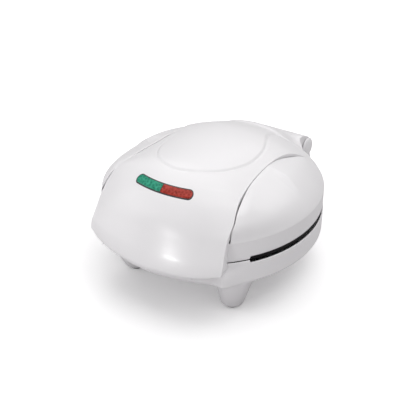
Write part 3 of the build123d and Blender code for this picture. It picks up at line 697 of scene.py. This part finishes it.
def build_base_shell(s):
    """Base moulding: profile of rim, band, round turn-in and floor, swept round the oval and closed."""
    turn_in, inner_inset, setback, inner_setback = 14, 17, 4.3, 2.4
    shoulder_size, shoulder_place, shoulder_width, shoulder_rear = 6.5, 77, 8.5, -60
    scoop_slope, scoop_top, scoop_side = 1.8, -14.5, (64, 78)
    theta = round_angles(s)
    lift = front_share(s, theta) * (s.slot - SEAM) / 2
    # Rim and band: inset, height, share of the front's lift
    profile = [(1.4, -2.0, 0), (1.4, -0.6, 1), (1.2, -0.15, 1), (0.7, 0.0, 1), (0.2, -0.15, 1), (0.0, -0.6, 1),
               (0.0, -2.4, 0.6), (0.0, -5.0, 0.2), (0.0, -9.0, 0), (0.0, -14.0, 0), (0.0, -s.band + 1, 0),
               (0.0, -s.band, 0)]
    profile += [(turn_in * (1 - math.cos(a)), -s.band - (s.under - s.band) * math.sin(a), 0)
                for a in np.linspace(0, math.pi / 2, 10)[1:]]
    rows = [oval_row(theta, s.half_width - inset, s.half_length - inset, z + raised * lift)
            for inset, z, raised in profile]
    for inset, height, shares in ((turn_in, -s.under, (0.75, 0.5, 0.25, 0.0)),
                                  (inner_inset, s.wall - s.under, (0.0, 0.25, 0.5, 0.75, 1.0))):
        rows += [oval_row(theta, (s.half_width - inset) * share, (s.half_length - inset) * share, height)
                 for share in shares]
    rows += [oval_row(theta, s.half_width - inset, s.half_length - inset, height)
             for inset, height in ((6, -s.band), (s.wall, 4 - s.band))]
    loop = np.stack(rows, 1)
    x, z = np.abs(loop[..., 0]), loop[..., 2]
    outer = np.ones(loop.shape[1])
    outer[:2] = outer[-2:] = 0
    # A shoulder beside the visor stands forward, and below the visor the front falls back
    shoulder = shoulder_size * np.exp(-((x - shoulder_place) / shoulder_width) ** 2)
    shoulder = shoulder * smooth_step(-z, 1, 9) * smooth_step(x, 66, 76)
    loop[..., 1] -= shoulder * outer * (loop[..., 1] < shoulder_rear)
    scoop = scoop_slope * np.clip(scoop_top - z, 0, None) * (1 - smooth_step(x, *scoop_side))
    loop = behind_visor(s, loop, setback + scoop + inner_setback * (1 - outer))
    put_piece("base_shell", [closed_grid(s, loop, wrap_rows=True)], "white_plastic", "base", "base_housing")


def build_legs(s):
    """Legs: circles that grow and lean outwards as they rise, flaring into the well, kept inside the oval."""
    pad, toe, top = 1.6, 5.0, -15.0
    foot_radius, toe_round, growth, flare, foot_side, side_lean, clear = 11.0, 3.6, 11.2, 2.0, 62, 9.5, 0.02
    turn = np.linspace(0, 2 * math.pi, 72, endpoint=False)
    bottom = pad - s.rim
    heights = np.concatenate([bottom + toe * (1 - np.cos(np.linspace(0, math.pi / 2, 12))),
                              np.linspace(bottom + toe, top, 44)[1:]])
    share = (heights - bottom) / (top - bottom)
    radius = (foot_radius + growth * share ** 0.85 + flare * share ** 5
              - toe_round * (1 - quarter_circle((heights - bottom) / toe)))[:, None]
    parts = []
    for side in (-1, 1):
        for back, top_back in ((-58.5, -71.0), (78.0, 80.0)):
            x = side * (foot_side + side_lean * share)[:, None] + radius * np.cos(turn)
            y = (back + (top_back - back) * share)[:, None] + radius * np.sin(turn)
            reach = np.maximum(np.hypot(x / (s.half_width - clear), y / (s.half_length - clear)), 1)
            skin = np.stack([x / reach, y / reach, np.repeat(heights[:, None], len(turn), 1)], 2)
            parts.append(closed_grid(s, np.concatenate([gathered(skin[:1]), skin, gathered(skin[-1:])], 0)))
    put_piece("legs_skin", parts, "white_plastic", "base", "legs")


def lens_outline(s, reach, low, high):
    """Outline of a curved slot between two angles, and the nearest point of its middle line."""
    side_count, end_count, half = 26, 16, math.pi / 2
    ring, arc = s.hood_lamp_ring, np.linspace(low, high, side_count)
    around = np.linspace(-half, half, end_count)
    angle = np.concatenate([arc, np.full(end_count, high), arc[::-1], np.full(end_count, low)])
    swing = np.concatenate([np.full(side_count, -half), around, np.full(side_count, half), around + math.pi])
    spine = np.stack([ring * np.sin(angle), s.hood_sweep - ring * np.cos(angle)], 1)
    along = np.stack([np.cos(angle), np.sin(angle)], 1)
    inward = np.stack([-np.sin(angle), np.cos(angle)], 1)
    return spine + reach * (np.cos(swing)[:, None] * along + np.sin(swing)[:, None] * inward), spine


# Section of a lens, its top with the round shoulder and its underside: share of the reach, share of the rise
LENS_TOP = ((0.0, 1.0), (0.35, 1.0), (0.65, 0.98), (0.85, 0.9), (0.94, 0.75), (0.985, 0.5), (1.0, 0.15))
LENS_UNDERSIDE = ((1.0, -4.0), (0.6, -4.5), (0.0, -4.5))


def lens_piece(s, name, finish, node, reach, low, high, proud, cut=None):
    """Lens: rings between the slot's middle line and its outline, over the hood, with a round shoulder."""
    outline, spine = lens_outline(s, reach, low, high)
    rows = []
    for share, rise in LENS_TOP + LENS_UNDERSIDE:
        flat = spine + share * (outline - spine)
        if cut is not None:
            side, limit = cut
            flat[:, 0] = side * np.maximum(side * flat[:, 0], limit)
        height = hood_height(s, flat[:, 0], flat[:, 1]) + proud * rise
        rows.append(np.stack([flat[:, 0], flat[:, 1], height], 1))
    put_piece(name, [closed_grid(s, np.stack(rows, 0))], finish, "lid", node)


def build_lamps(s):
    """Dark border plate and the two lenses, which meet with a gap on the middle line."""
    span, middle = math.radians(16.3), 0.02
    border_reach, border_rise, lens_reach, lens_rise, gap_half = 4.55, 0.22, 3.6, 0.55, 0.3
    lens_piece(s, "lens_border", "black_plastic", "lamp_bezel", border_reach, -span, span, border_rise)
    lens_piece(s, "lens_green", "green_lens", "green_lens", lens_reach, -span, -middle, lens_rise, (-1, gap_half))
    lens_piece(s, "lens_red", "red_lens", "red_lens", lens_reach, middle, span, lens_rise, (1, gap_half))


def side_profile(points, rounds=3):
    """Outline of a side view with its corners cut smoothly: each pass replaces a corner by two points."""
    outline = np.array(points, dtype=float)
    for _ in range(rounds):
        following = np.roll(outline, -1, axis=0)
        outline = np.stack([0.75 * outline + 0.25 * following, 0.25 * outline + 0.75 * following],
                           1).reshape(-1, 2)
    return outline


def circle(angles):
    """Points of a circle of radius 1 in a side view: (cos a, sin a)."""
    return np.stack([np.cos(angles), np.sin(angles)], 1)


def prism_part(s, outline, low, high, roundness, centre):
    """Side view carried across the width, its ends rounded by shrinking towards a centre."""
    a = np.linspace(0, math.pi / 2, 6)
    swell = 1 - (roundness * (1 - np.sin(a))) / np.max(np.linalg.norm(outline - centre, axis=1))
    inset = roundness * (1 - np.cos(a))
    places = np.concatenate([low + inset, (high - inset)[::-1]])
    sizes = np.concatenate([swell, swell[::-1]])
    flat = centre + sizes[:, None, None] * (outline[None] - centre)
    rows = np.concatenate([np.repeat(places[:, None, None], flat.shape[1], 1), flat], 2)
    return closed_grid(s, np.concatenate([gathered(rows[:1]), rows, gathered(rows[-1:])], 0))


# Side view of an ear's arm from the base's rear wall to the ring: place along the part, height
ARM_SIDE = ((114, -15.5), (136, -15.8), (150.4, -9), (150.4, 12), (131.6, 12), (131.4, 4), (127, -2.2), (114, -2.4))


def build_hinge(s):
    """Lid knuckle with its wedge, base ears and caps: side views carried across with rounded ends."""
    knuckle_radius, knuckle_half, knuckle_round, ear_round = 9.45, 29.9, 1.2, 0.8
    ear_inner, ear_outer, cap_inner, cap_bulge, cap_radius = 30.45, 38.85, 38.92, 3.15, 11.5
    cap_shift, arm_middle, wedge_middle = (-2.4, 0.9), np.array([137.0, -4.0]), np.array([130.0, 18.0])
    centre = np.array([s.barrel_back, s.barrel_up])
    around = circle(np.linspace(0, 2 * math.pi, 64, endpoint=False))
    arc = centre + knuckle_radius * circle(np.linspace(math.pi / 2 - TAIL_FALL, -math.pi / 2, 40))
    wedge_front, wedge_low, below_tail = 118, 9.4, 1.6
    wedge_top = arc[0, 1] + (arc[0, 0] - wedge_front) * math.tan(TAIL_FALL) - below_tail
    wedge = np.concatenate([arc, [(s.barrel_back - 12, wedge_low), (120, wedge_low), (116, 12), (116, 36),
                                  (wedge_front, wedge_top)]])
    knuckle = prism_part(s, wedge, -knuckle_half, knuckle_half, knuckle_round, wedge_middle)
    put_piece("knuckle_skin", [knuckle], "white_plastic", "lid", "lid_knuckle")
    bulge = np.linspace(0, math.pi / 2, 14)
    radius = cap_radius * np.cos(bulge) ** 0.55
    ears, caps = [], []
    for side in (-1, 1):
        low, high = sorted((side * ear_inner, side * ear_outer))
        ears.append(prism_part(s, side_profile(ARM_SIDE), low, high, ear_round, arm_middle))
        ears.append(prism_part(s, centre + BARREL * around, low, high, ear_round, centre))
        places = side * (cap_inner + cap_bulge * np.sin(bulge))
        dome = np.concatenate([np.repeat(places[:, None, None], len(around), 1),
                               centre + cap_shift + radius[:, None, None] * around[None]], 2)
        caps.append(closed_grid(s, np.concatenate([gathered(dome[:1]), dome], 0)))
    put_piece("ears_skin", ears, "white_plastic", "base", "hinge_ears")
    put_piece("caps_skin", caps, "white_plastic", "base", "hinge_caps")


# ---- operators ----
class COOKER_OT_housings(bpy.types.Operator):
    """Makes the base, the lid moulding and the legs"""
    bl_idname = "cooker.housings"
    bl_label = "Housings"

    def execute(self, context):
        s = Sizes(context.scene)
        build_base_shell(s)
        build_lid_shell(s)
        build_legs(s)
        return {"FINISHED"}


class COOKER_OT_hood(bpy.types.Operator):
    """Makes the hood with its visor, raised disc and tail"""
    bl_idname = "cooker.hood"
    bl_label = "Hood"

    def execute(self, context):
        build_hood(Sizes(context.scene))
        return {"FINISHED"}


class COOKER_OT_lamps(bpy.types.Operator):
    """Makes the lamp window: border and two lenses"""
    bl_idname = "cooker.lamps"
    bl_label = "Lamps"

    def execute(self, context):
        build_lamps(Sizes(context.scene))
        return {"FINISHED"}


class COOKER_OT_hinge(bpy.types.Operator):
    """Makes the knuckle, the ears and the caps of the hinge"""
    bl_idname = "cooker.hinge"
    bl_label = "Hinge"

    def execute(self, context):
        build_hinge(Sizes(context.scene))
        return {"FINISHED"}


class COOKER_OT_finishes(bpy.types.Operator):
    """Gives every piece that comes from the frame the finish of its slot"""
    bl_idname = "cooker.finishes"
    bl_label = "Finishes"

    def execute(self, context):
        for part in frame["record"]["subparts"]:
            node = frame["nodes"][part["node"]]
            node.data.materials.clear()
            node.data.materials.append(finish_named(part["material_slot"]))
        return {"FINISHED"}


class COOKER_OT_stage(bpy.types.Operator):
    """Makes the worktop, the lamps, the world and the camera"""
    bl_idname = "cooker.stage"
    bl_label = "Stage"

    def execute(self, context):
        build_stage(context.scene)
        return {"FINISHED"}


class COOKER_PT_sidebar(bpy.types.Panel):
    """Lists the cooker's operators and sizes"""
    bl_label = "Quesadilla maker"
    bl_space_type = "VIEW_3D"
    bl_region_type = "UI"
    bl_category = "Cooker"

    def draw(self, context):
        for operator in OPERATORS:
            self.layout.operator(operator.bl_idname)
        for group in (context.scene.cooker_body, context.scene.cooker_hood, context.scene.cooker_finish,
                      context.scene.cooker_stage):
            box = self.layout.box()
            for key in group.__annotations__:
                box.prop(group, key)


WHITE = (1, 1, 1, 1)
WORLD_LIGHT, WORLD_SEEN = 0.36, 1.0
# Name, place in metres from the oval's middle at the rim, width, height, power
LAMPS = (("top_lamp", (0.0, 0.3, 1.17), 1.9, 1.9, 14.6), ("left_lamp", (-1.1, -0.78, 0.36), 0.9, 0.9, 3.5),
         ("front_lamp", (-0.16, -1.15, 0.125), 0.2, 0.06, 2.1), ("right_lamp", (0.6, -0.35, 1.0), 0.9, 0.9, 3.0))


def facing(place, back):
    """Matrix of an upright object at a place that faces away from the direction back."""
    right = np.cross((0, 0, 1.0), back)
    right /= np.linalg.norm(right)
    up = np.cross(back, right)
    return Matrix([[right[i], up[i], back[i], place[i]] for i in range(3)] + [[0, 0, 0, 1]])


def area_lamp(name, place, aim, width, height, power):
    """Soft rectangular lamp that faces a point."""
    data = bpy.data.lights.new(name, "AREA")
    data.shape = "RECTANGLE"
    data.size, data.size_y = width, height
    data.energy = power
    lamp = bpy.data.objects.new(name, data)
    lamp.matrix_world = facing(place, (place - aim) / np.linalg.norm(place - aim))
    bpy.context.scene.collection.objects.link(lamp)


def build_worktop(scene):
    """Pale worktop: it keeps the shadow, and to the camera it glows more with distance until it is white."""
    span, near, far, glow_near = 3.0, 0.22, 0.8, 0.17
    mesh = bpy.data.meshes.new("worktop")
    mesh.from_pydata([(-span, -span, 0), (span, -span, 0), (span, span, 0), (-span, span, 0)], [], [(0, 1, 2, 3)])
    floor = bpy.data.objects.new("worktop", mesh)
    scene.collection.objects.link(floor)
    shader = Shader(bpy.data.materials.new("worktop"))
    seen = shader.node("ShaderNodeLightPath")
    reach = shader.node("ShaderNodeVectorMath", {"operation": "LENGTH"}, [shader.place()], output=1)
    tone = shader.mix(seen, toned((0.62, 0.61, 0.62)), toned((0.98, 0.975, 0.98)))
    diffuse = shader.node("ShaderNodeBsdfDiffuse", {}, {"Color": tone})
    rising = shader.spread(reach, near, far, glow_near)
    glow = shader.node("ShaderNodeEmission", {}, {"Color": WHITE, "Strength": seen * rising})
    both = shader.node("ShaderNodeAddShader", {}, [diffuse, glow])
    shader.node("ShaderNodeOutputMaterial", {}, [both])
    mesh.materials.append(shader.owner)


def build_stage(scene):
    """Worktop, soft lamps, a pale world that the camera sees as white, and the camera."""
    stage, body = scene.cooker_stage, scene.cooker_body
    scene.view_settings.view_transform = "Standard"
    build_worktop(scene)

    scene.world = bpy.data.worlds.new("studio")
    sky = Shader(scene.world)
    seen = sky.node("ShaderNodeLightPath")
    strengths = [sky.node("ShaderNodeBackground", {}, [WHITE, strength]) for strength in (WORLD_LIGHT, WORLD_SEEN)]
    sky.node("ShaderNodeOutputWorld", {}, [sky.node("ShaderNodeMixShader", {}, [seen, *strengths])])

    middle = np.array([0, body.axis_back, body.rim])
    for name, place, width, height, power in LAMPS:
        area_lamp(name, middle + place, middle, width, height, power)

    azimuth, elevation = math.radians(stage.azimuth), math.radians(stage.elevation)
    aim = np.array([stage.aim_side * math.cos(azimuth), body.axis_back + stage.aim_side * math.sin(azimuth),
                    stage.aim_up])
    back = np.array([math.sin(azimuth) * math.cos(elevation), -math.cos(azimuth) * math.cos(elevation),
                     math.sin(elevation)])
    data = bpy.data.cameras.new("camera")
    data.lens = stage.lens
    data.sensor_width = 36
    data.sensor_fit = "HORIZONTAL"
    camera = bpy.data.objects.new("camera", data)
    camera.matrix_world = facing(aim + stage.distance * back, back)
    scene.collection.objects.link(camera)
    scene.camera = camera


GROUPS = (("cooker_body", CookerBody), ("cooker_hood", CookerHood), ("cooker_finish", CookerFinish),
          ("cooker_stage", CookerStage))
OPERATORS = (COOKER_OT_stage, COOKER_OT_finishes, COOKER_OT_housings, COOKER_OT_hood, COOKER_OT_lamps,
             COOKER_OT_hinge)


def register():
    """Registers the property groups, operators and panel."""
    for name, group in GROUPS:
        bpy.utils.register_class(group)
        setattr(bpy.types.Scene, name, PointerProperty(type=group))
    for operator in OPERATORS:
        bpy.utils.register_class(operator)
    bpy.utils.register_class(COOKER_PT_sidebar)


def unregister():
    """Takes back what register did."""
    bpy.utils.unregister_class(COOKER_PT_sidebar)
    for operator in reversed(OPERATORS):
        bpy.utils.unregister_class(operator)
    for name, group in reversed(GROUPS):
        delattr(bpy.types.Scene, name)
        bpy.utils.unregister_class(group)


def main():
    register()
    bpy.ops.cooker.stage()
    bpy.ops.cooker.finishes()
    bpy.ops.cooker.housings()
    bpy.ops.cooker.hood()
    bpy.ops.cooker.lamps()
    bpy.ops.cooker.hinge()
    bpy.context.view_layer.update()


if __name__ == "__main__":
    main()
